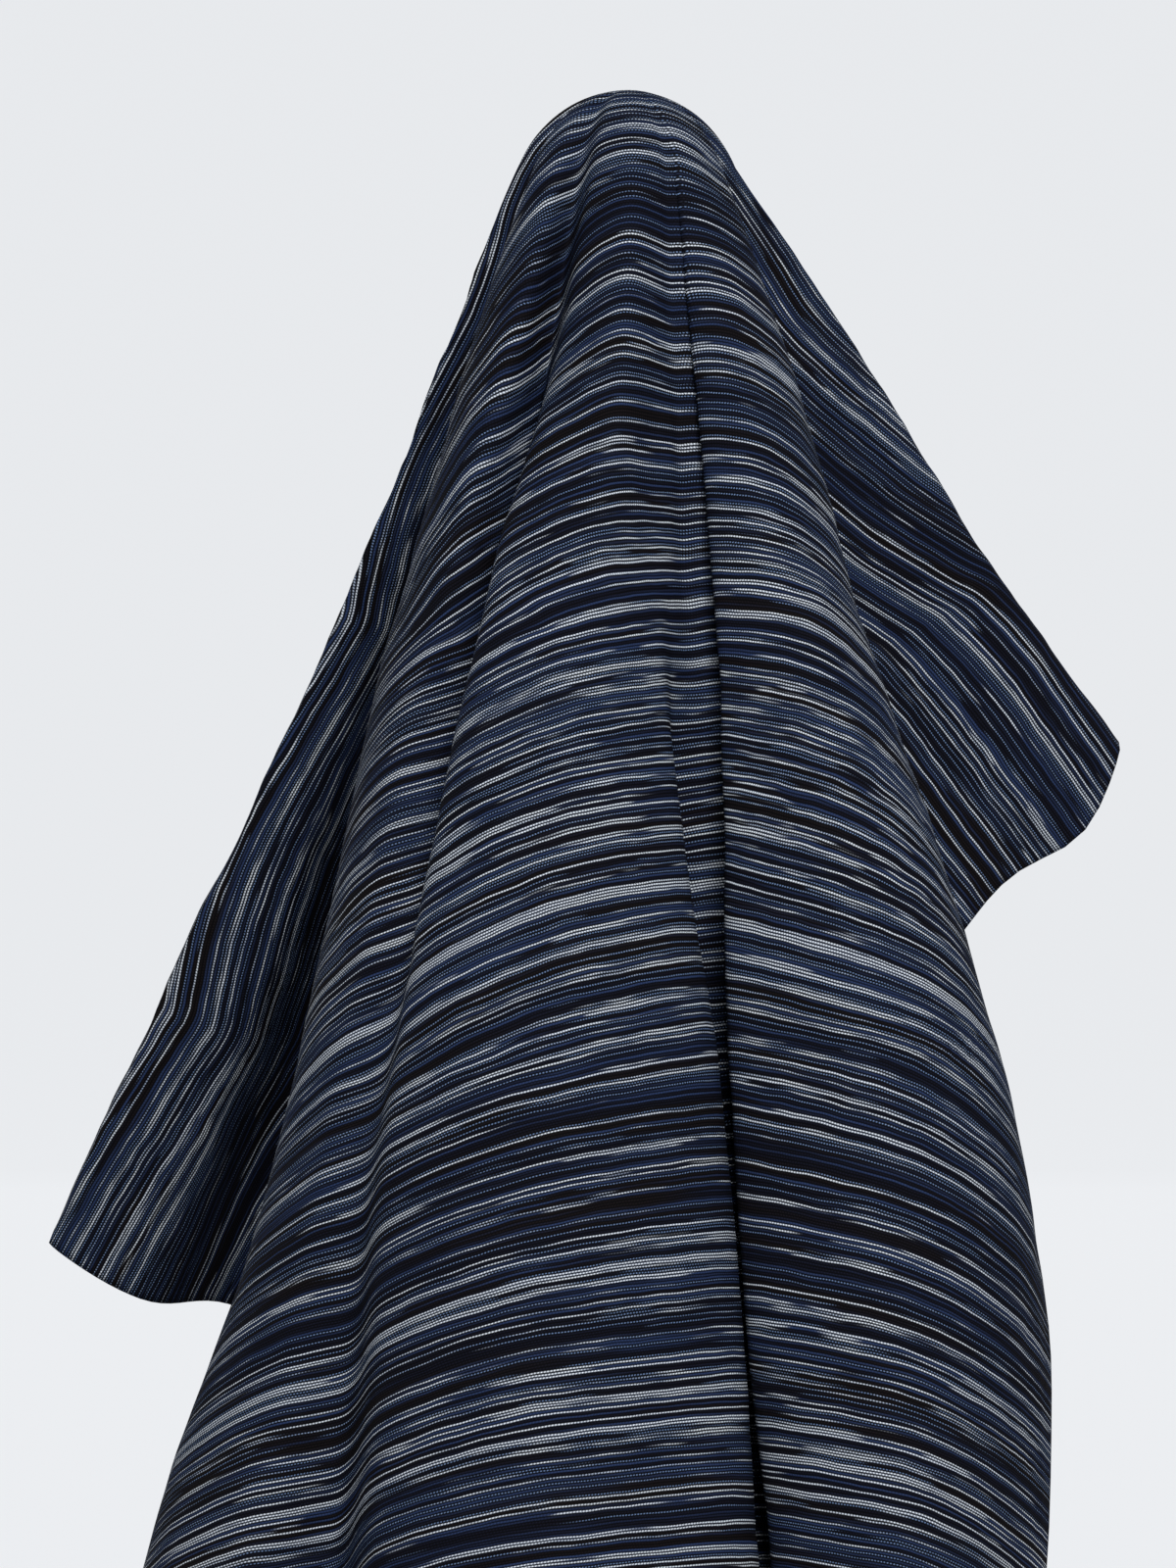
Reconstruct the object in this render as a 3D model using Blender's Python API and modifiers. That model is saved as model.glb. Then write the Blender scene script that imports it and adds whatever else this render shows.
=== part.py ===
"""Kasuri cotton cloth, one cut length hung over a rounded peg.

The flat cloth is measured from the point it hangs by: across the cloth to the
left and right selvedges, and along it to the front and back hems. A straight
line drawn on the flat cloth from that point keeps its length in the hanging
cloth, so every point has a flat distance and a flat angle, the angle being zero
down the middle of the front. Units are metres, X right, Y away, Z up, with the
seat of the peg at the origin.
"""
import math

import bmesh
import bpy
import numpy as np

# Flat size of the cloth, from the hanging point to each edge
LEFT_WIDTH = 0.225
RIGHT_WIDTH = 0.135
FRONT_DROP = 0.285
BACK_DROP = 0.275
THICKNESS = 0.001

# The slack selvedges belly out about one flat angle of each
BELLIES = (
    # name, flat angle, spread in angle, height
    ("left selvedge", -84.0, 5.0, 0.0035),
    ("right selvedge", 71.0, 5.0, 0.007),
)

# Rounded top over the peg
SHOULDER = 0.022
DOME_TURN = math.radians(63.0)

# Point where the straight lines of the folds would meet, above the rounded top
APEX = (0.0015, 0.0, 0.0208)
APEX_SLACK = 0.0153

# Folds in order round the cloth. Each fold line leans to the right and tips to
# the front by so many degrees where it crosses each ring of flat distance.
RINGS = (SHOULDER, 0.050, 0.105, 0.180, 0.300)
FOLDS = (
    # name, lean at each ring, tip at each ring
    ("left wing edge", (-30.5, -27.4, -24.8, -24.9, -25.2), (-1, -5, -8, -9, -9)),
    ("left wing face", (-28.5, -25.0, -22.0, -21.0, -20.6), (2, -5, -9, -9.5, -9.5)),
    ("left wing turn", (-26.5, -22.0, -18.8, -17.2, -16.6), (4, -4, -11.5, -14, -14.5)),
    ("left valley", (-24.5, -18.0, -14.0, -5.2, 1.5), (7, -1, -6, -7.4, -6.5)),
    ("left fold", (-26.5, -23.6, -19.9, -16.8, -17.0), (12, 8, 6.5, 8, 7)),
    ("left panel", (-21.5, -18.0, -16.5, -15.0, -13.0), (19, 18, 14, 13.5, 12.5)),
    ("second valley", (-15.0, -12.5, -10.8, -12.6, -9.5), (18.5, 12.5, 12.0, 15.0, 10.5)),
    ("second fold", (-10.5, -10.2, -12.6, -11.6, -7.5), (26, 21.5, 19, 17.3, 15.5)),
    ("front ridge", (-1.5, -2.0, -4.0, -4.5, -3.5), (29, 28, 22.5, 20.5, 17)),
    ("crease left", (5.5, 3.4, 1.8, 3.9, 4.2), (27, 23.6, 19.8, 16.4, 14)),
    ("left tuck", (6.6, 4.4, 3.0, 1.0, 2.2), (26.2, 22.6, 18.0, 11.8, 11.3)),
    ("crease floor left", (7.7, 5.6, 4.3, 3.9, 4.2), (25.5, 22.0, 16.8, 11.8, 10.6)),
    ("crease floor right", (9.3, 7.4, 6.0, 4.6, 4.8), (25.5, 22.0, 16.4, 11.8, 10.6)),
    ("right tuck", (10.4, 10.4, 15.4, 14.2, 9.4), (25.8, 21.2, 12.4, 10.2, 10.4)),
    ("crease right", (11.5, 8.8, 6.6, 4.7, 4.8), (26, 23, 19.0, 16.6, 14)),
    ("right ridge", (16.0, 12.0, 11.5, 11.0, 8.2), (23, 23.5, 21, 19, 17)),
    ("right panel", (19.5, 16.5, 15.5, 15.5, 11.8), (18, 21, 19.5, 17.5, 13)),
    ("right fold", (22.0, 20.8, 18.5, 18.0, 14.0), (13, 13, 14, 13, 6)),
    ("right valley", (21.0, 12.0, 14.0, 13.5, 10.0), (7, 3, 3, 2, -2)),
    ("right wing face", (24.5, 22.0, 20.5, 20.5, 19.0), (2, -2, -3, -4, -8)),
    ("right wing edge", (26.0, 30.0, 31.2, 33.0, 33.0), (-3, -7, -9, -10, -10)),
    ("right wing back", (24.0, 24.0, 22.5, 22.0, 21.0), (-9, -12, -13, -14, -14)),
    ("back valley 1", (20.0, 17.0, 14.0, 13.5, 12.5), (-15, -15, -13, -12, -12)),
    ("back ridge 1", (13.5, 13.5, 11.5, 10.0, 9.0), (-23, -28, -29, -29, -28)),
    ("back valley 2", (6.5, 6.0, 5.5, 5.5, 5.0), (-24, -19, -13, -12, -12)),
    ("back ridge 2", (0.5, 0.5, 0.5, 0.5, 0.5), (-29, -32, -32, -32, -31)),
    ("back valley 3", (-7.0, -6.0, -4.8, -4.5, -4.2), (-24, -19, -13, -13, -13)),
    ("back ridge 3", (-15.5, -13.5, -11.0, -9.5, -9.0), (-23, -28, -29, -29, -28)),
    ("back valley 4", (-23.5, -18.5, -15.0, -13.5, -12.5), (-13, -16, -19, -21, -22)),
    ("left wing back", (-27.5, -22.0, -19.0, -17.5, -16.5), (-6, -11, -18, -23, -24)),
)
# Flat angle of the front ridge at each ring, and how much of the flat length
# round each ring the folds take up, the rest going into the shear of the weave
ZERO_FOLD = "front ridge"
ZERO_ANGLES = (-5.0, -9.0, -21.0, -22.0, -9.0)
TAKEN_UP = (0.84, 0.90, 0.93, 0.89, 0.82)
# The back folds deepen or flatten about this tip until the ring is long enough
LAST_FRONT_FOLD = "right wing edge"
BACK_TIP = -20.0

# Grid of the solid: steps of the smooth curve between two folds, those of them
# that carry a grid line, and rings over the rounded top and below it
SPAN_STEPS = 20
LINE_STEP = 4
TOP_RINGS = 4
DROP_RINGS = 15
TABLE_RINGS = 60

COTTON = {"base": (0.020, 0.026, 0.055, 1.0), "rough": 0.85, "metal": 0.0}


def smooth_value(places, values, x):
    """Value at x of a smooth curve through the values at the given places."""
    places = np.asarray(places, float)
    values = np.asarray(values, float)
    steps = np.diff(places)
    rises = np.diff(values) / steps
    slopes = np.empty_like(values)
    slopes[1:-1] = (rises[1:] * steps[:-1] + rises[:-1] * steps[1:]) / (steps[1:] + steps[:-1])
    slopes[0], slopes[-1] = rises[0], rises[-1]
    x = min(max(x, places[0]), places[-1])
    i = min(int(np.searchsorted(places, x, side="right")) - 1, len(steps) - 1)
    t = (x - places[i]) / steps[i]
    return ((2 * t**3 - 3 * t**2 + 1) * values[i] + (t**3 - 2 * t**2 + t) * steps[i] * slopes[i]
            + (3 * t**2 - 2 * t**3) * values[i + 1] + (t**3 - t**2) * steps[i] * slopes[i + 1])


def closed_curve(corners, steps):
    """Smooth closed curve through the corners, with so many steps in each span."""
    before, here, after, later = (np.roll(corners, -j, axis=0)[:, None] for j in (-1, 0, 1, 2))

    def gap(a, b):
        return np.sqrt(np.linalg.norm(b - a, axis=2, keepdims=True))

    def blend(a, b, start, end):
        return ((end - t) * a + (t - start) * b) / (end - start)

    k1 = gap(before, here)
    k2 = k1 + gap(here, after)
    k3 = k2 + gap(after, later)
    t = k1 + (k2 - k1) * np.linspace(0.0, 1.0, steps, endpoint=False)[None, :, None]
    first, middle, last = blend(before, here, 0, k1), blend(here, after, k1, k2), blend(after, later, k2, k3)
    return blend(blend(first, middle, 0, k2), blend(middle, last, k1, k3), k1, k2).reshape(-1, 2)


def fold_ring(distance):
    """Points of the ring at one flat distance, and the flat angle of each."""
    names = [fold[0] for fold in FOLDS]
    lean = np.array([smooth_value(np.log(RINGS), fold[1], math.log(distance)) for fold in FOLDS])
    tip = np.array([smooth_value(np.log(RINGS), fold[2], math.log(distance)) for fold in FOLDS])
    back = np.arange(len(FOLDS)) > names.index(LAST_FRONT_FOLD)
    radius = distance + APEX_SLACK
    wanted = 2 * math.pi * distance / radius * np.interp(distance, RINGS, TAKEN_UP)

    def directions(depth):
        tips = np.where(back, BACK_TIP + (tip - BACK_TIP) * depth, tip)
        curve = np.radians(closed_curve(np.stack([lean, tips], axis=1), SPAN_STEPS))
        side, front = curve[:, 0], curve[:, 1]
        ring = np.stack([np.sin(side) * np.cos(front), -np.sin(front),
                         -np.cos(side) * np.cos(front)], axis=1)
        ring = np.vstack([ring, ring[:1]])
        return ring, np.concatenate([[0.0], np.cumsum(np.linalg.norm(np.diff(ring, axis=0), axis=1))])

    shallow, deep = 0.2, 3.0
    for _ in range(16):
        depth = (shallow + deep) / 2
        ring, length = directions(depth)
        if length[-1] < wanted:
            shallow = depth
        else:
            deep = depth

    zero = names.index(ZERO_FOLD) * SPAN_STEPS
    last = names.index(LAST_FRONT_FOLD) * SPAN_STEPS
    angle = (length - length[zero]) * radius / distance
    angle += math.radians(np.interp(distance, RINGS, ZERO_ANGLES))
    spare = (angle[0] + 2 * math.pi - angle[last]) / (angle[-1] - angle[last])
    angle[last:] = angle[last] + (angle[last:] - angle[last]) * spare
    return np.array(APEX) + radius * ring, angle


class HungCloth:
    """The hanging cloth as grid lines that run down its folds from the peg."""

    def __init__(self):
        longest = math.hypot(max(LEFT_WIDTH, RIGHT_WIDTH), max(FRONT_DROP, BACK_DROP))
        self.distances = np.linspace(SHOULDER, longest, TABLE_RINGS)
        rings = [fold_ring(distance) for distance in self.distances]
        self.points = np.array([points for points, angle in rings])
        self.angles = np.array([angle for points, angle in rings])
        self.last = self.angles.shape[1] - 1

    def between(self, table, distance, line):
        """Entry of a table at a flat distance and a line that may fall between two."""
        row = (distance - self.distances[0]) / (self.distances[1] - self.distances[0])
        i, j = min(int(row), TABLE_RINGS - 2), min(int(line), self.last - 1)
        u, v = row - i, line - j
        return ((1 - u) * ((1 - v) * table[i, j] + v * table[i, j + 1])
                + u * ((1 - v) * table[i + 1, j] + v * table[i + 1, j + 1]))

    def place(self, distance, line):
        """Point of the hanging cloth at a flat distance down a line."""
        point = self.between(self.points, max(distance, SHOULDER), line)
        if distance >= SHOULDER:
            return point
        turn = DOME_TURN * distance / SHOULDER
        out = math.sin(turn) / math.sin(DOME_TURN)
        down = (1 - math.cos(turn)) / (1 - math.cos(DOME_TURN))
        return point * (out, out, down)

    def length(self, line):
        """Flat distance at which a line reaches the edge of the cloth."""
        spare = np.array([edge_distance(self.between(self.angles, distance, line)) - distance
                          for distance in self.distances])
        i = int(np.argmax(spare < 0.0))
        share = spare[i - 1] / (spare[i - 1] - spare[i])
        return float(self.distances[i - 1] + share * (self.distances[i] - self.distances[i - 1]))

    def corner(self, across, along):
        """Flat distance of a corner of the cloth, and the line that meets it."""
        distance = math.hypot(across, along)
        angles = [self.between(self.angles, distance, line) for line in range(self.last + 1)]
        angle = (math.atan2(across, along) - angles[0]) % (2 * math.pi) + angles[0]
        return distance, float(np.interp(angle, angles, range(self.last + 1)))


def edge_distance(angle):
    """Flat distance from the hanging point to the edge of the cloth."""
    across = RIGHT_WIDTH if math.sin(angle) > 0 else LEFT_WIDTH
    along = FRONT_DROP if math.cos(angle) > 0 else BACK_DROP
    straight = min(across / max(abs(math.sin(angle)), 1e-9), along / max(abs(math.cos(angle)), 1e-9))
    return straight + sum(height * math.exp(-((math.degrees(angle) - middle) / spread)**2)
                          for name, middle, spread, height in BELLIES)


def build_cloth():
    """The whole cloth as one closed sheet."""
    hung = HungCloth()
    lines = [float(line) for line in range(0, hung.last, LINE_STEP)]
    ends = list(lines)
    lengths = [hung.length(line) for line in lines]
    for across in (-LEFT_WIDTH, RIGHT_WIDTH):
        for along in (-BACK_DROP, FRONT_DROP):
            distance, line = hung.corner(across, along)
            nearest = int(np.argmin([abs(line - other) for other in lines]))
            ends[nearest], lengths[nearest] = line, distance

    mesh = bpy.data.meshes.new("cloth")
    grid = bmesh.new()
    rings = TOP_RINGS + DROP_RINGS
    bmesh.ops.create_grid(grid, x_segments=len(lines), y_segments=rings, size=1.0)
    grid.verts.ensure_lookup_table()
    for index, vert in enumerate(grid.verts):
        ring, column = divmod(index, len(lines) + 1)
        column %= len(lines)
        down = max(0.0, (ring - TOP_RINGS) / DROP_RINGS)
        distance = SHOULDER * min(1.0, ring / TOP_RINGS) + (lengths[column] - SHOULDER) * down
        line = lines[column] + (ends[column] - lines[column]) * down**2
        vert.co = hung.place(distance, line)
    bmesh.ops.remove_doubles(grid, verts=grid.verts, dist=1e-6)
    bmesh.ops.recalc_face_normals(grid, faces=grid.faces)
    if max(grid.faces, key=lambda face: face.calc_center_median().z).normal.z < 0:
        bmesh.ops.reverse_faces(grid, faces=grid.faces)
    grid.to_mesh(mesh)
    grid.free()

    cloth = bpy.data.objects.new("cloth", mesh)
    thick = cloth.modifiers.new("thickness", "SOLIDIFY")
    thick.thickness = THICKNESS
    thick.offset = 1.0
    return cloth


def cotton_material():
    """Dark indigo cotton."""
    material = bpy.data.materials.new("kasuri_cotton")
    material.use_nodes = True
    shader = material.node_tree.nodes["Principled BSDF"]
    shader.inputs["Base Color"].default_value = COTTON["base"]
    shader.inputs["Roughness"].default_value = COTTON["rough"]
    shader.inputs["Metallic"].default_value = COTTON["metal"]
    return material


def main():
    for item in list(bpy.data.objects):
        bpy.data.objects.remove(item, do_unlink=True)
    part = bpy.data.collections.new("kasuri_fabric")
    bpy.context.scene.collection.children.link(part)
    cloth = build_cloth()
    cloth.data.materials.append(cotton_material())
    part.objects.link(cloth)


main()
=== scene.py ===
"""Kasuri fabric hung on a peg: its sheet, its woven colour and the room it is seen in."""

import math

import bmesh
import bpy
import numpy as np
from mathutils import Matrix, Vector, noise


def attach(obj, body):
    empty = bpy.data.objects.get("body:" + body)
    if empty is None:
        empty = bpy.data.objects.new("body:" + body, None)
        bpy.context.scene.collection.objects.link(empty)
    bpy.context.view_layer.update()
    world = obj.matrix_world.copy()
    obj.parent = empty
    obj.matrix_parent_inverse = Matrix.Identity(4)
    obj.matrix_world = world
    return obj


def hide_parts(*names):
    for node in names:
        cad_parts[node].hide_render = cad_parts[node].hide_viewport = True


bl_info = {
    "name": "Kasuri Fabric",
    "version": (1, 0, 0),
    "blender": (4, 5, 0),
    "location": "View3D > Sidebar > Kasuri",
    "description": "A length of kasuri cotton hung on a peg",
    "category": "Object",
}

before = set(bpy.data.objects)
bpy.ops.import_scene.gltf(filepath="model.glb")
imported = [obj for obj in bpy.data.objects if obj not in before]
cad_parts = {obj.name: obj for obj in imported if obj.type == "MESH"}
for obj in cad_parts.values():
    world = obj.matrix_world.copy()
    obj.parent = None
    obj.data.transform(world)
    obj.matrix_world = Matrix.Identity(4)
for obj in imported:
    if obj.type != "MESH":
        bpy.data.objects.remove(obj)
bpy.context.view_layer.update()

# Flat size of the cloth, from the hanging point to each edge
LEFT_WIDTH = 0.225
RIGHT_WIDTH = 0.135
FRONT_DROP = 0.285
BACK_DROP = 0.275

# The slack selvedges belly out about one flat angle of each
BELLIES = (
    # name, flat angle, spread in angle, height
    ("left selvedge", -84.0, 5.0, 0.0035),
    ("right selvedge", 71.0, 5.0, 0.007),
)

# Rounded top, and the point where the straight lines of the folds would meet
SHOULDER = 0.022
DOME_TURN = math.radians(63.0)
APEX = (0.0015, 0.0, 0.0208)
APEX_SLACK = 0.0153

# Folds in order round the cloth. Each fold line leans to the right and tips to
# the front by so many degrees where it crosses each ring of flat distance.
RINGS = (SHOULDER, 0.050, 0.105, 0.180, 0.300)
FOLDS = (
    # name, lean at each ring, tip at each ring
    ("left wing edge", (-30.5, -27.4, -24.8, -24.9, -25.2), (-1, -5, -8, -9, -9)),
    ("left wing face", (-28.5, -25.0, -22.0, -21.0, -20.6), (2, -5, -9, -9.5, -9.5)),
    ("left wing turn", (-26.5, -22.0, -18.8, -17.2, -16.6), (4, -4, -11.5, -14, -14.5)),
    ("left valley", (-24.5, -18.0, -14.0, -5.2, 1.5), (7, -1, -6, -7.4, -6.5)),
    ("left fold", (-26.5, -23.6, -19.9, -16.8, -17.0), (12, 8, 6.5, 8, 7)),
    ("left panel", (-21.5, -18.0, -16.5, -15.0, -13.0), (19, 18, 14, 13.5, 12.5)),
    ("second valley", (-15.0, -12.5, -10.8, -12.6, -9.5), (18.5, 12.5, 12.0, 15.0, 10.5)),
    ("second fold", (-10.5, -10.2, -12.6, -11.6, -7.5), (26, 21.5, 19, 17.3, 15.5)),
    ("front ridge", (-1.5, -2.0, -4.0, -4.5, -3.5), (29, 28, 22.5, 20.5, 17)),
    ("crease left", (5.5, 3.4, 1.8, 3.9, 4.2), (27, 23.6, 19.8, 16.4, 14)),
    ("left tuck", (6.6, 4.4, 3.0, 1.0, 2.2), (26.2, 22.6, 18.0, 11.8, 11.3)),
    ("crease floor left", (7.7, 5.6, 4.3, 3.9, 4.2), (25.5, 22.0, 16.8, 11.8, 10.6)),
    ("crease floor right", (9.3, 7.4, 6.0, 4.6, 4.8), (25.5, 22.0, 16.4, 11.8, 10.6)),
    ("right tuck", (10.4, 10.4, 15.4, 14.2, 9.4), (25.8, 21.2, 12.4, 10.2, 10.4)),
    ("crease right", (11.5, 8.8, 6.6, 4.7, 4.8), (26, 23, 19.0, 16.6, 14)),
    ("right ridge", (16.0, 12.0, 11.5, 11.0, 8.2), (23, 23.5, 21, 19, 17)),
    ("right panel", (19.5, 16.5, 15.5, 15.5, 11.8), (18, 21, 19.5, 17.5, 13)),
    ("right fold", (22.0, 20.8, 18.5, 18.0, 14.0), (13, 13, 14, 13, 6)),
    ("right valley", (21.0, 12.0, 14.0, 13.5, 10.0), (7, 3, 3, 2, -2)),
    ("right wing face", (24.5, 22.0, 20.5, 20.5, 19.0), (2, -2, -3, -4, -8)),
    ("right wing edge", (26.0, 30.0, 31.2, 33.0, 33.0), (-3, -7, -9, -10, -10)),
    ("right wing back", (24.0, 24.0, 22.5, 22.0, 21.0), (-9, -12, -13, -14, -14)),
    ("back valley 1", (20.0, 17.0, 14.0, 13.5, 12.5), (-15, -15, -13, -12, -12)),
    ("back ridge 1", (13.5, 13.5, 11.5, 10.0, 9.0), (-23, -28, -29, -29, -28)),
    ("back valley 2", (6.5, 6.0, 5.5, 5.5, 5.0), (-24, -19, -13, -12, -12)),
    ("back ridge 2", (0.5, 0.5, 0.5, 0.5, 0.5), (-29, -32, -32, -32, -31)),
    ("back valley 3", (-7.0, -6.0, -4.8, -4.5, -4.2), (-24, -19, -13, -13, -13)),
    ("back ridge 3", (-15.5, -13.5, -11.0, -9.5, -9.0), (-23, -28, -29, -29, -28)),
    ("back valley 4", (-23.5, -18.5, -15.0, -13.5, -12.5), (-13, -16, -19, -21, -22)),
    ("left wing back", (-27.5, -22.0, -19.0, -17.5, -16.5), (-6, -11, -18, -23, -24)),
)
FOLD_NAMES = [fold[0] for fold in FOLDS]
ZERO_FOLD = "front ridge"
ZERO_ANGLES = (-5.0, -9.0, -21.0, -22.0, -9.0)
TAKEN_UP = (0.84, 0.90, 0.93, 0.89, 0.82)
LAST_FRONT_FOLD = "right wing edge"
BACK_TIP = -20.0

# Soft creases: height, spacing across and along the cloth, and a place in the noise
CREASES = (
    ("slack", 0.0012, 0.030, 0.070, 3.1),
    ("handling", 0.0005, 0.012, 0.030, 7.7),
    ("yarn", 0.00015, 0.004, 0.008, 12.9),
)
FREE_DISTANCE = 0.06  # flat distance from the peg at which the creases reach full height

# Photograph frame, in metres at the hanging point
FRAME_HEIGHT = 0.264
FRAME_CENTRE = (-0.0066, 0.0, -0.1163)
VIEW_DISTANCE = 1.5

# Backdrop: half its width, its height below the peg, and where it starts to sweep up
FLOOR_HALF_WIDTH = 8.0
FLOOR_HEIGHT = -0.40
FLAT_RADIUS = 5.0


def smooth_value(places, values, x):
    """Value at x of a smooth curve through the values at the given places."""
    places, values = np.asarray(places, float), np.asarray(values, float)
    steps = np.diff(places)
    rises = np.diff(values) / steps
    slopes = np.empty_like(values)
    slopes[1:-1] = (rises[1:] * steps[:-1] + rises[:-1] * steps[1:]) / (steps[1:] + steps[:-1])
    slopes[0], slopes[-1] = rises[0], rises[-1]
    x = min(max(x, places[0]), places[-1])
    i = min(int(np.searchsorted(places, x, side="right")) - 1, len(steps) - 1)
    t = (x - places[i]) / steps[i]
    return ((2 * t**3 - 3 * t**2 + 1) * values[i] + (t**3 - 2 * t**2 + t) * steps[i] * slopes[i]
            + (3 * t**2 - 2 * t**3) * values[i + 1] + (t**3 - t**2) * steps[i] * slopes[i + 1])


def closed_curve(corners, steps):
    """Smooth closed curve through the corners, with so many steps in each span."""
    before, here, after, later = (np.roll(corners, -j, axis=0)[:, None] for j in (-1, 0, 1, 2))

    def gap(a, b):
        return np.sqrt(np.linalg.norm(b - a, axis=2, keepdims=True))

    def blend(a, b, start, end):
        return ((end - t) * a + (t - start) * b) / (end - start)

    k1 = gap(before, here)
    k2 = k1 + gap(here, after)
    k3 = k2 + gap(after, later)
    t = k1 + (k2 - k1) * np.linspace(0.0, 1.0, steps, endpoint=False)[None, :, None]
    first = blend(before, here, 0, k1)
    middle = blend(here, after, k1, k2)
    last = blend(after, later, k2, k3)
    return blend(blend(first, middle, 0, k2), blend(middle, last, k1, k3), k1, k2).reshape(-1, 2)


def fold_ring(distance, steps):
    """Points of the ring at one flat distance, and the flat angle of each."""
    place = math.log(distance)
    lean = np.array([smooth_value(np.log(RINGS), fold[1], place) for fold in FOLDS])
    tip = np.array([smooth_value(np.log(RINGS), fold[2], place) for fold in FOLDS])
    back = np.arange(len(FOLDS)) > FOLD_NAMES.index(LAST_FRONT_FOLD)
    radius = distance + APEX_SLACK
    wanted = 2 * math.pi * distance / radius * np.interp(distance, RINGS, TAKEN_UP)

    def directions(depth):
        tips = np.where(back, BACK_TIP + (tip - BACK_TIP) * depth, tip)
        curve = np.radians(closed_curve(np.stack([lean, tips], axis=1), steps))
        side, front = curve[:, 0], curve[:, 1]
        ring = np.stack([np.sin(side) * np.cos(front), -np.sin(front),
                         -np.cos(side) * np.cos(front)], axis=1)
        ring = np.vstack([ring, ring[:1]])
        return ring, np.concatenate([[0.0], np.cumsum(np.linalg.norm(np.diff(ring, axis=0), axis=1))])

    shallow, deep = 0.2, 3.0
    for _ in range(20):
        depth = (shallow + deep) / 2
        ring, length = directions(depth)
        if length[-1] < wanted:
            shallow = depth
        else:
            deep = depth

    zero = FOLD_NAMES.index(ZERO_FOLD) * steps
    last = FOLD_NAMES.index(LAST_FRONT_FOLD) * steps
    angle = (length - length[zero]) * radius / distance
    angle += math.radians(np.interp(distance, RINGS, ZERO_ANGLES))
    spare = (angle[0] + 2 * math.pi - angle[last]) / (angle[-1] - angle[last])
    angle[last:] = angle[last] + (angle[last:] - angle[last]) * spare
    return np.array(APEX) + radius * ring, angle


def edge_distance(angle):
    """Flat distance from the hanging point to the edge of the cloth."""
    across = RIGHT_WIDTH if math.sin(angle) > 0 else LEFT_WIDTH
    along = FRONT_DROP if math.cos(angle) > 0 else BACK_DROP
    straight = min(across / max(abs(math.sin(angle)), 1e-9), along / max(abs(math.cos(angle)), 1e-9))
    return straight + sum(height * math.exp(-((math.degrees(angle) - middle) / spread)**2)
                          for name, middle, spread, height in BELLIES)


class HungCloth:
    """The hanging cloth as grid lines that run down its folds from the peg."""

    def __init__(self, steps):
        longest = math.hypot(max(LEFT_WIDTH, RIGHT_WIDTH), max(FRONT_DROP, BACK_DROP))
        self.distances = np.linspace(SHOULDER, longest, 160)
        rings = [fold_ring(distance, steps) for distance in self.distances]
        self.points = np.array([points for points, angle in rings])
        self.angles = np.array([angle for points, angle in rings])
        self.last = self.angles.shape[1] - 1

    def between(self, table, distance, line):
        """Entry of a table at a flat distance and a line that may fall between two."""
        row = (distance - self.distances[0]) / (self.distances[1] - self.distances[0])
        i, j = min(int(row), len(self.distances) - 2), min(int(line), self.last - 1)
        u, v = row - i, line - j
        return ((1 - u) * ((1 - v) * table[i, j] + v * table[i, j + 1])
                + u * ((1 - v) * table[i + 1, j] + v * table[i + 1, j + 1]))

    def place(self, distance, line):
        """Point of the hanging cloth at a flat distance down a line, and its place on the flat cloth."""
        beyond = max(distance, SHOULDER)
        point = self.between(self.points, beyond, line)
        angle = self.between(self.angles, beyond, line)
        flat = (distance * math.sin(angle), distance * math.cos(angle))
        if distance < SHOULDER:
            turn = DOME_TURN * distance / SHOULDER
            out = math.sin(turn) / math.sin(DOME_TURN)
            down = (1 - math.cos(turn)) / (1 - math.cos(DOME_TURN))
            point = point * (out, out, down)
        return Vector(point), flat

    def length(self, line):
        """Flat distance at which a line reaches the edge of the cloth."""
        spare = np.array([edge_distance(self.between(self.angles, distance, line)) - distance
                          for distance in self.distances])
        i = int(np.argmax(spare < 0.0))
        share = spare[i - 1] / (spare[i - 1] - spare[i])
        return float(self.distances[i - 1] + share * (self.distances[i] - self.distances[i - 1]))

    def corner(self, across, along):
        """Flat distance of a corner of the cloth, and the line that meets it."""
        distance = math.hypot(across, along)
        angles = [self.between(self.angles, distance, line) for line in range(self.last + 1)]
        angle = (math.atan2(across, along) - angles[0]) % (2 * math.pi) + angles[0]
        return distance, float(np.interp(angle, angles, range(self.last + 1)))


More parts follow.
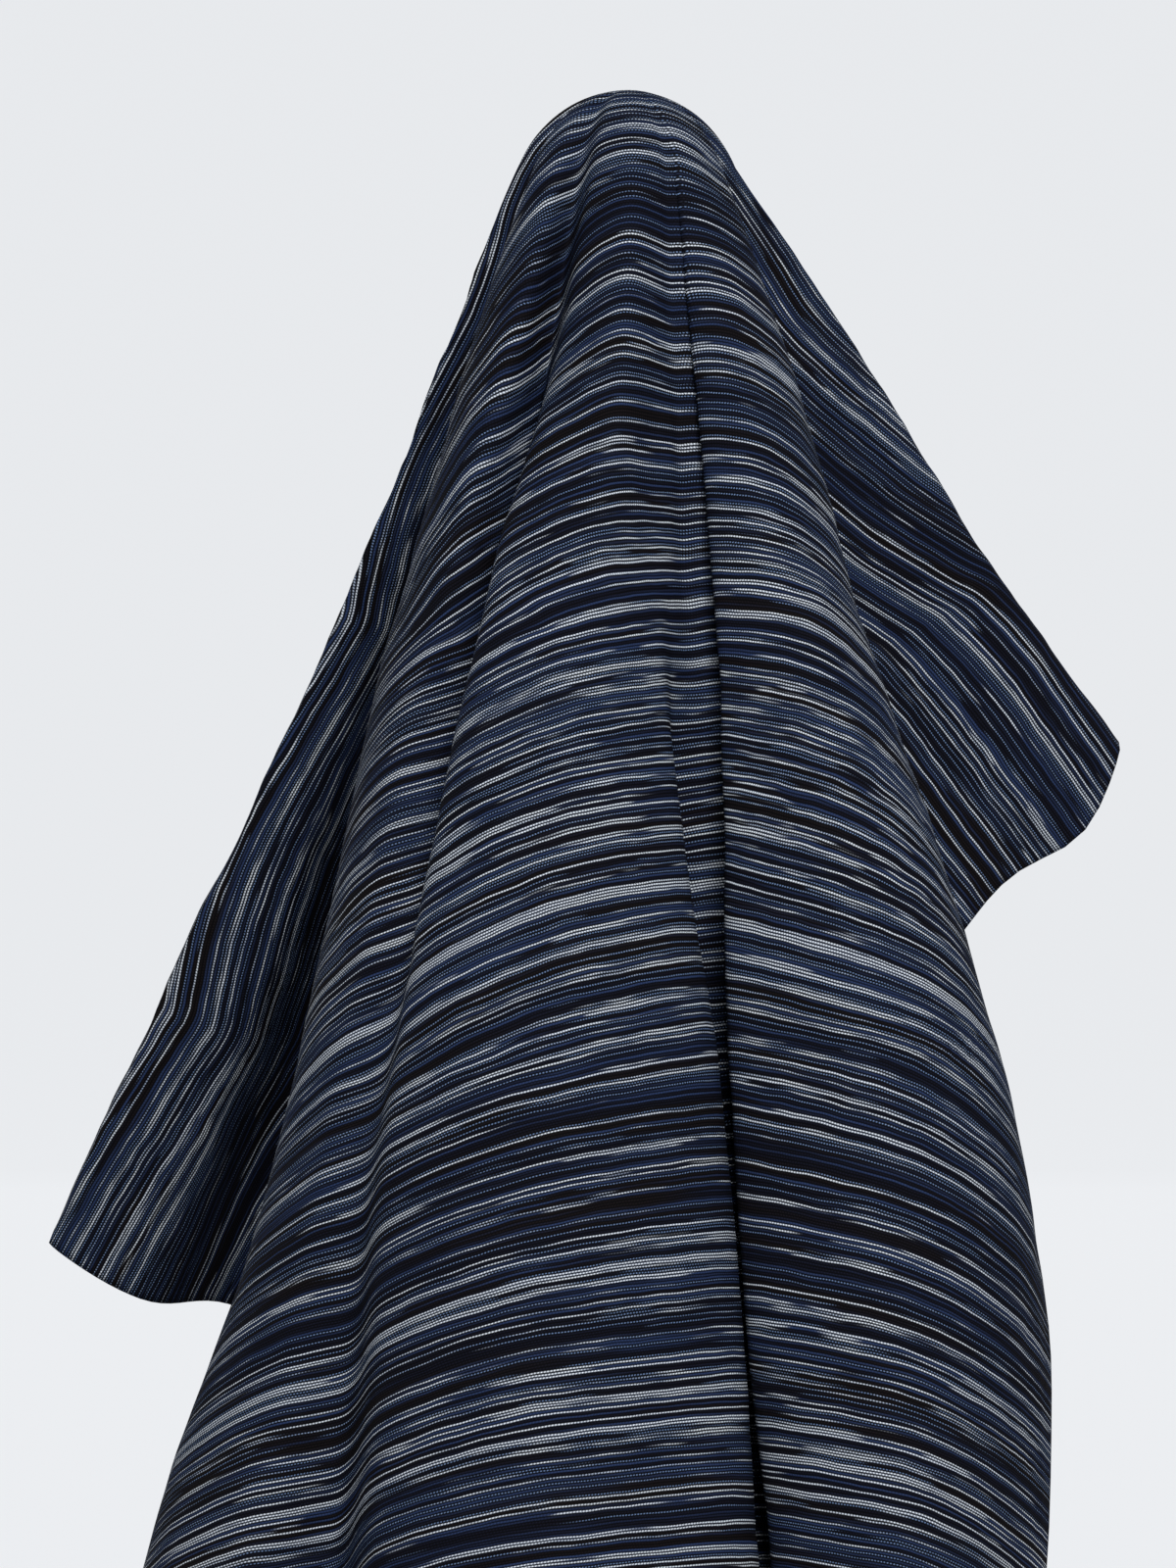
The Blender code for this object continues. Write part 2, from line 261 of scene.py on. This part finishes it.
def sheet_mesh(steps, drop_rings):
    """Fine mesh of the hanging sheet, with the flat cloth as its UV map in metres."""
    hung = HungCloth(steps)
    lines = [float(line) for line in range(hung.last)]
    ends = list(lines)
    lengths = [hung.length(line) for line in lines]
    for across in (-LEFT_WIDTH, RIGHT_WIDTH):
        for along in (-BACK_DROP, FRONT_DROP):
            distance, line = hung.corner(across, along)
            nearest = int(np.argmin([abs(line - other) for other in lines]))
            ends[nearest], lengths[nearest] = line, distance

    top_rings = drop_rings // 8
    sheet = bmesh.new()
    bmesh.ops.create_grid(sheet, x_segments=len(lines), y_segments=top_rings + drop_rings, size=1.0)
    flat_place = sheet.verts.layers.float_vector.new("flat_place")
    sheet.verts.ensure_lookup_table()
    for index, vert in enumerate(sheet.verts):
        ring, column = divmod(index, len(lines) + 1)
        column %= len(lines)
        down = max(0.0, (ring - top_rings) / drop_rings)
        distance = SHOULDER * min(1.0, ring / top_rings) + (lengths[column] - SHOULDER) * down
        line = lines[column] + (ends[column] - lines[column]) * down**2
        vert.co, flat = hung.place(distance, line)
        vert[flat_place] = (*flat, distance)
    bmesh.ops.remove_doubles(sheet, verts=sheet.verts, dist=1e-6)
    bmesh.ops.recalc_face_normals(sheet, faces=sheet.faces)
    if max(sheet.faces, key=lambda face: face.calc_center_median().z).normal.z < 0:
        bmesh.ops.reverse_faces(sheet, faces=sheet.faces)

    sheet.normal_update()
    moves = []
    for vert in sheet.verts:
        across, along, distance = vert[flat_place]
        free = min(1.0, distance / FREE_DISTANCE)
        height = sum(
            tall * noise.noise(Vector((across / wide, along / long, seed)))
            for name, tall, wide, long, seed in CREASES)
        moves.append(vert.normal * height * free)
    for vert, move in zip(sheet.verts, moves):
        vert.co += move

    uv_map = sheet.loops.layers.uv.new("flat_cloth")
    for face in sheet.faces:
        face.smooth = True
        for loop in face.loops:
            loop[uv_map].uv = loop.vert[flat_place][:2]
    mesh = bpy.data.meshes.new("kasuri_sheet")
    sheet.to_mesh(mesh)
    sheet.free()
    return mesh


class Socket:
    """One output of a shader node, or a number, that can be used in Python sums."""

    def __init__(self, nodes, output):
        self.nodes, self.output = nodes, output

    def maths(self, operation, *others):
        values = {0: self}
        values.update({i + 1: other for i, other in enumerate(others)})
        return self.nodes.add("ShaderNodeMath", {"operation": operation}, values)[0]

    def __add__(self, other):
        return self.maths("ADD", other)

    def __radd__(self, other):
        return self.maths("ADD", other)

    def __sub__(self, other):
        return self.maths("SUBTRACT", other)

    def __rsub__(self, other):
        return self.maths("MULTIPLY_ADD", -1.0, other)

    def __mul__(self, other):
        return self.maths("MULTIPLY", other)

    def __rmul__(self, other):
        return self.maths("MULTIPLY", other)

    def __truediv__(self, other):
        return self.maths("DIVIDE", other)

    def floor(self):
        return self.maths("FLOOR")

    def fraction(self):
        return self.maths("FRACT")

    def sine(self):
        return self.maths("SINE")

    def power(self, other):
        return self.maths("POWER", other)

    def step(self, low, high):
        """Smooth step from 0 at low to 1 at high."""
        return self.nodes.add(
            "ShaderNodeMapRange", {"interpolation_type": "SMOOTHSTEP"},
            {"Value": self, "From Min": low, "From Max": high})[0]


class Nodes:
    """Adds nodes to one material."""

    def __init__(self, name):
        self.material = bpy.data.materials.new(name)
        self.material.use_nodes = True
        self.tree = self.material.node_tree
        self.shader = self.tree.nodes["Principled BSDF"]

    def add(self, kind, settings=None, values=None):
        """One node: its settings first, then the values or links of its sockets."""
        node = self.tree.nodes.new(kind)
        for name, value in (settings or {}).items():
            setattr(node, name, value)
        for name, value in (values or {}).items():
            self.feed(node.inputs[name], value)
        return [Socket(self, output) for output in node.outputs]

    def feed(self, socket, value):
        """Link or set one socket."""
        if isinstance(value, Socket):
            self.tree.links.new(value.output, socket)
        elif isinstance(value, tuple) and len(value) == 3 and socket.type == "RGBA":
            socket.default_value = (*value, 1.0)
        else:
            socket.default_value = value

    def mix(self, share, first, second):
        """Colour between two colours."""
        node = self.tree.nodes.new("ShaderNodeMix")
        node.data_type = "RGBA"
        self.feed(node.inputs["Factor"], share)
        colours = [s for s in node.inputs if s.type == "RGBA"]
        self.feed(colours[0], first)
        self.feed(colours[1], second)
        return Socket(self, next(s for s in node.outputs if s.type == "RGBA"))

    def noise_at(self, x, y, z, detail=1.0):
        """Smooth noise about one half at a place made of three sockets."""
        place = self.add("ShaderNodeCombineXYZ", values={"X": x, "Y": y, "Z": z})[0]
        return self.add("ShaderNodeTexNoise", {"noise_dimensions": "3D"},
                        {"Vector": place, "Scale": 1.0, "Detail": detail})[0]

    def random_at(self, w):
        """Random number from 0 to 1 for each value."""
        return self.add("ShaderNodeTexWhiteNoise", {"noise_dimensions": "1D"}, {"W": w})[0]


def kasuri_material(dye):
    """Plain weave of a dark warp and a weft dyed in broken lengths."""
    n = Nodes("kasuri_cotton")
    flat = n.add("ShaderNodeUVMap", {"uv_map": "flat_cloth"})[0]
    across, along, _ = n.add("ShaderNodeSeparateXYZ", values={"Vector": flat})

    # Numbers of the pick and the end, the picks wandering a little as they are beaten in
    drift = n.noise_at(across / 0.030, along / 0.020, 3.0) - 0.5
    wobble = n.noise_at(across / 0.007, along / 0.005, 4.0) - 0.5
    picks = (along + drift * 0.0012 + wobble * 0.0006) / dye.pick_spacing
    pick = picks.floor()
    ends = across / dye.end_spacing
    chance = (n.random_at(pick) * 0.55 + pick * 0.618).fraction()
    fullness = (n.random_at(pick + 517.0) * 0.55 + pick * 0.382).fraction()

    # Pale lengths of weft, in clusters of a few picks
    cluster = n.noise_at(across / 0.060, along / 0.0014, 2.0)
    patch = n.noise_at(across / 0.060, along / 0.011, 7.0)
    length = n.noise_at(across / 0.018, pick * 3.7, 5.0)
    paleness = cluster.step(0.35, 0.65) * 0.22 + patch.step(0.30, 0.70) * 0.16 + 0.27
    paleness = paleness + (length - 0.5) * 0.8 - chance
    pale = paleness.step(-0.02, 0.05)
    # Brightest where the undyed lengths of neighbouring picks lie side by side
    bright = n.noise_at(across / 0.010, along / 0.0014, 9.0, 2.0) + (fullness - 0.5) * 0.80
    white = bright.step(0.30, 0.62)
    pale_colour = n.mix(white, dye.pale_blue[:], dye.white[:])

    # Dark lengths of weft, from brown-black through navy to indigo
    blue = n.noise_at(across / 0.030, along / 0.0016, 13.0)
    brown = n.noise_at(across / 0.080, along / 0.0050, 17.0)
    dark = n.mix(brown.step(0.45, 0.62), dye.navy[:], dye.brown_black[:])
    dark = n.mix((blue + (fullness - 0.5) * 0.90).step(0.46, 0.98), dark, dye.indigo[:])

    # Beads of weft over the warp, each pick half a repeat on from the last. The
    # undyed yarn is fuller and shows as a nearly unbroken line.
    row = (picks.fraction() * math.pi).sine()
    bead = ((ends + pick) * math.pi).sine() * 0.5 + 0.5
    bead = bead + (1.0 - bead) * (white * 0.35 + 0.05)
    shown = row.power(4.2 - white * 1.8) * bead
    weft = n.mix(pale * shown, dark, pale_colour)
    ground = row.power(1.5) * (bead * 0.7 + 0.3)
    n.feed(n.shader.inputs["Base Color"], n.mix(ground, dye.warp[:], weft))
    height = n.add("ShaderNodeBump", values={"Strength": 0.5, "Distance": 0.0002, "Height": shown})[0]
    n.feed(n.shader.inputs["Normal"], height)
    n.shader.inputs["Roughness"].default_value = 0.85
    n.shader.inputs["Specular IOR Level"].default_value = 0.05
    return n.material


class KasuriSizes(bpy.types.PropertyGroup):
    """Sizes of the sheet."""

    thickness: bpy.props.FloatProperty(
        name="Thickness", description="Thickness of the cotton", default=0.0005, unit="LENGTH")
    steps: bpy.props.IntProperty(
        name="Steps", description="Grid lines between two folds", default=10, min=2, max=20)
    drop_rings: bpy.props.IntProperty(
        name="Rings", description="Grid rings below the rounded top", default=150, min=16, max=300)


class KasuriDye(bpy.types.PropertyGroup):
    """Weave spacing and dye colours."""

    pick_spacing: bpy.props.FloatProperty(
        name="Pick spacing", description="Distance from weft to weft", default=0.00050, precision=6,
        unit="LENGTH")
    end_spacing: bpy.props.FloatProperty(
        name="End spacing", description="Distance from warp to warp", default=0.00024, precision=6,
        unit="LENGTH")
    warp: bpy.props.FloatVectorProperty(
        name="Warp", description="Colour of the warp", default=(0.0006, 0.0006, 0.0009), subtype="COLOR")
    navy: bpy.props.FloatVectorProperty(
        name="Navy", description="Darkest blue of the weft", default=(0.0056, 0.0062, 0.0140),
        subtype="COLOR")
    brown_black: bpy.props.FloatVectorProperty(
        name="Brown-black", description="Overdyed brown of the weft", default=(0.0076, 0.0055, 0.0066),
        subtype="COLOR")
    indigo: bpy.props.FloatVectorProperty(
        name="Indigo", description="Middle blue of the weft", default=(0.024, 0.042, 0.110),
        subtype="COLOR")
    pale_blue: bpy.props.FloatVectorProperty(
        name="Pale blue", description="Lightly dyed weft", default=(0.165, 0.255, 0.45), subtype="COLOR")
    white: bpy.props.FloatVectorProperty(
        name="White", description="Undyed weft", default=(0.85, 0.92, 1.0), subtype="COLOR")


class KASURI_OT_cloth(bpy.types.Operator):
    """Hang the sheet of kasuri cotton"""

    bl_idname = "kasuri.cloth"
    bl_label = "Kasuri Cloth"

    def execute(self, context):
        sizes = context.scene.kasuri_sizes
        cloth = bpy.data.objects.new("kasuri_sheet", sheet_mesh(sizes.steps, sizes.drop_rings))
        context.scene.collection.objects.link(cloth)
        thick = cloth.modifiers.new("thickness", "SOLIDIFY")
        thick.thickness = sizes.thickness
        thick.offset = 1.0
        cloth.data.materials.append(kasuri_material(context.scene.kasuri_dye))
        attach(cloth, "root")
        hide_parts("cloth")
        return {"FINISHED"}


class KASURI_OT_stage(bpy.types.Operator):
    """Set the pale floor and backdrop, the lights and the camera"""

    bl_idname = "kasuri.stage"
    bl_label = "Kasuri Stage"

    def execute(self, context):
        self.backdrop(context)
        self.lights(context)
        camera = bpy.data.objects.new("camera", bpy.data.cameras.new("camera"))
        camera.data.lens = 36.0 * VIEW_DISTANCE / FRAME_HEIGHT
        camera.location = Vector(FRAME_CENTRE) - Vector((0.0, VIEW_DISTANCE, 0.0))
        camera.rotation_euler = (math.pi / 2, 0.0, 0.0)
        context.scene.collection.objects.link(camera)
        context.scene.camera = camera
        return {"FINISHED"}

    def backdrop(self, context):
        """Wide floor that sweeps up all round, seen by the camera without lighting the cloth."""
        sweep = bmesh.new()
        bmesh.ops.create_grid(sweep, x_segments=64, y_segments=64, size=FLOOR_HALF_WIDTH)
        for vert in sweep.verts:
            beyond = max(0.0, vert.co.length - FLAT_RADIUS)
            vert.co.z = FLOOR_HEIGHT + 0.5 * beyond**1.5
        for face in sweep.faces:
            face.smooth = True
        mesh = bpy.data.meshes.new("backdrop")
        sweep.to_mesh(mesh)
        sweep.free()
        floor = bpy.data.objects.new("backdrop", mesh)
        floor.visible_diffuse = floor.visible_shadow = False
        context.scene.collection.objects.link(floor)
        paper = Nodes("backdrop_paper")
        paper.shader.inputs["Base Color"].default_value = (0.06, 0.06, 0.06, 1.0)
        paper.shader.inputs["Roughness"].default_value = 0.9
        paper.shader.inputs["Emission Color"].default_value = (0.95, 0.97, 1.0, 1.0)
        paper.shader.inputs["Emission Strength"].default_value = 0.81
        mesh.materials.append(paper.material)

    def lights(self, context):
        """Soft key light from the front and above, wide fill from the left, and a pale room."""
        for name, size, power, place, aim in (
            ("key", 0.6, 32.0, (0.25, -1.40, 0.92), (0.0, 0.0, -0.12)),
            ("fill", 1.4, 3.6, (-0.9, -1.6, 0.2), (0.0, 0.0, -0.15)),
        ):
            light = bpy.data.objects.new(name, bpy.data.lights.new(name, "AREA"))
            light.data.energy = power
            light.data.size = size
            light.location = place
            light.rotation_euler = (Vector(aim) - Vector(place)).to_track_quat("-Z", "Y").to_euler()
            context.scene.collection.objects.link(light)
        world = bpy.data.worlds.new("room")
        world.use_nodes = True
        world.node_tree.nodes["Background"].inputs["Color"].default_value = (0.90, 0.92, 0.95, 1.0)
        world.node_tree.nodes["Background"].inputs["Strength"].default_value = 0.34
        context.scene.world = world
        context.scene.view_settings.view_transform = "Standard"


class KASURI_PT_panel(bpy.types.Panel):
    """Kasuri fabric tools"""

    bl_idname = "KASURI_PT_panel"
    bl_label = "Kasuri Fabric"
    bl_space_type = "VIEW_3D"
    bl_region_type = "UI"
    bl_category = "Kasuri"

    def draw(self, context):
        for group in (context.scene.kasuri_sizes, context.scene.kasuri_dye):
            for name in group.__annotations__:
                self.layout.prop(group, name)
        for operator in OPERATORS:
            self.layout.operator(operator.bl_idname)


OPERATORS = (KASURI_OT_cloth, KASURI_OT_stage)
CLASSES = (KasuriSizes, KasuriDye, *OPERATORS, KASURI_PT_panel)


def register():
    for cls in CLASSES:
        bpy.utils.register_class(cls)
    bpy.types.Scene.kasuri_sizes = bpy.props.PointerProperty(type=KasuriSizes)
    bpy.types.Scene.kasuri_dye = bpy.props.PointerProperty(type=KasuriDye)


def unregister():
    del bpy.types.Scene.kasuri_dye
    del bpy.types.Scene.kasuri_sizes
    for cls in reversed(CLASSES):
        bpy.utils.unregister_class(cls)


def main():
    register()
    bpy.ops.kasuri.cloth()
    bpy.ops.kasuri.stage()


if __name__ == "__main__":
    main()
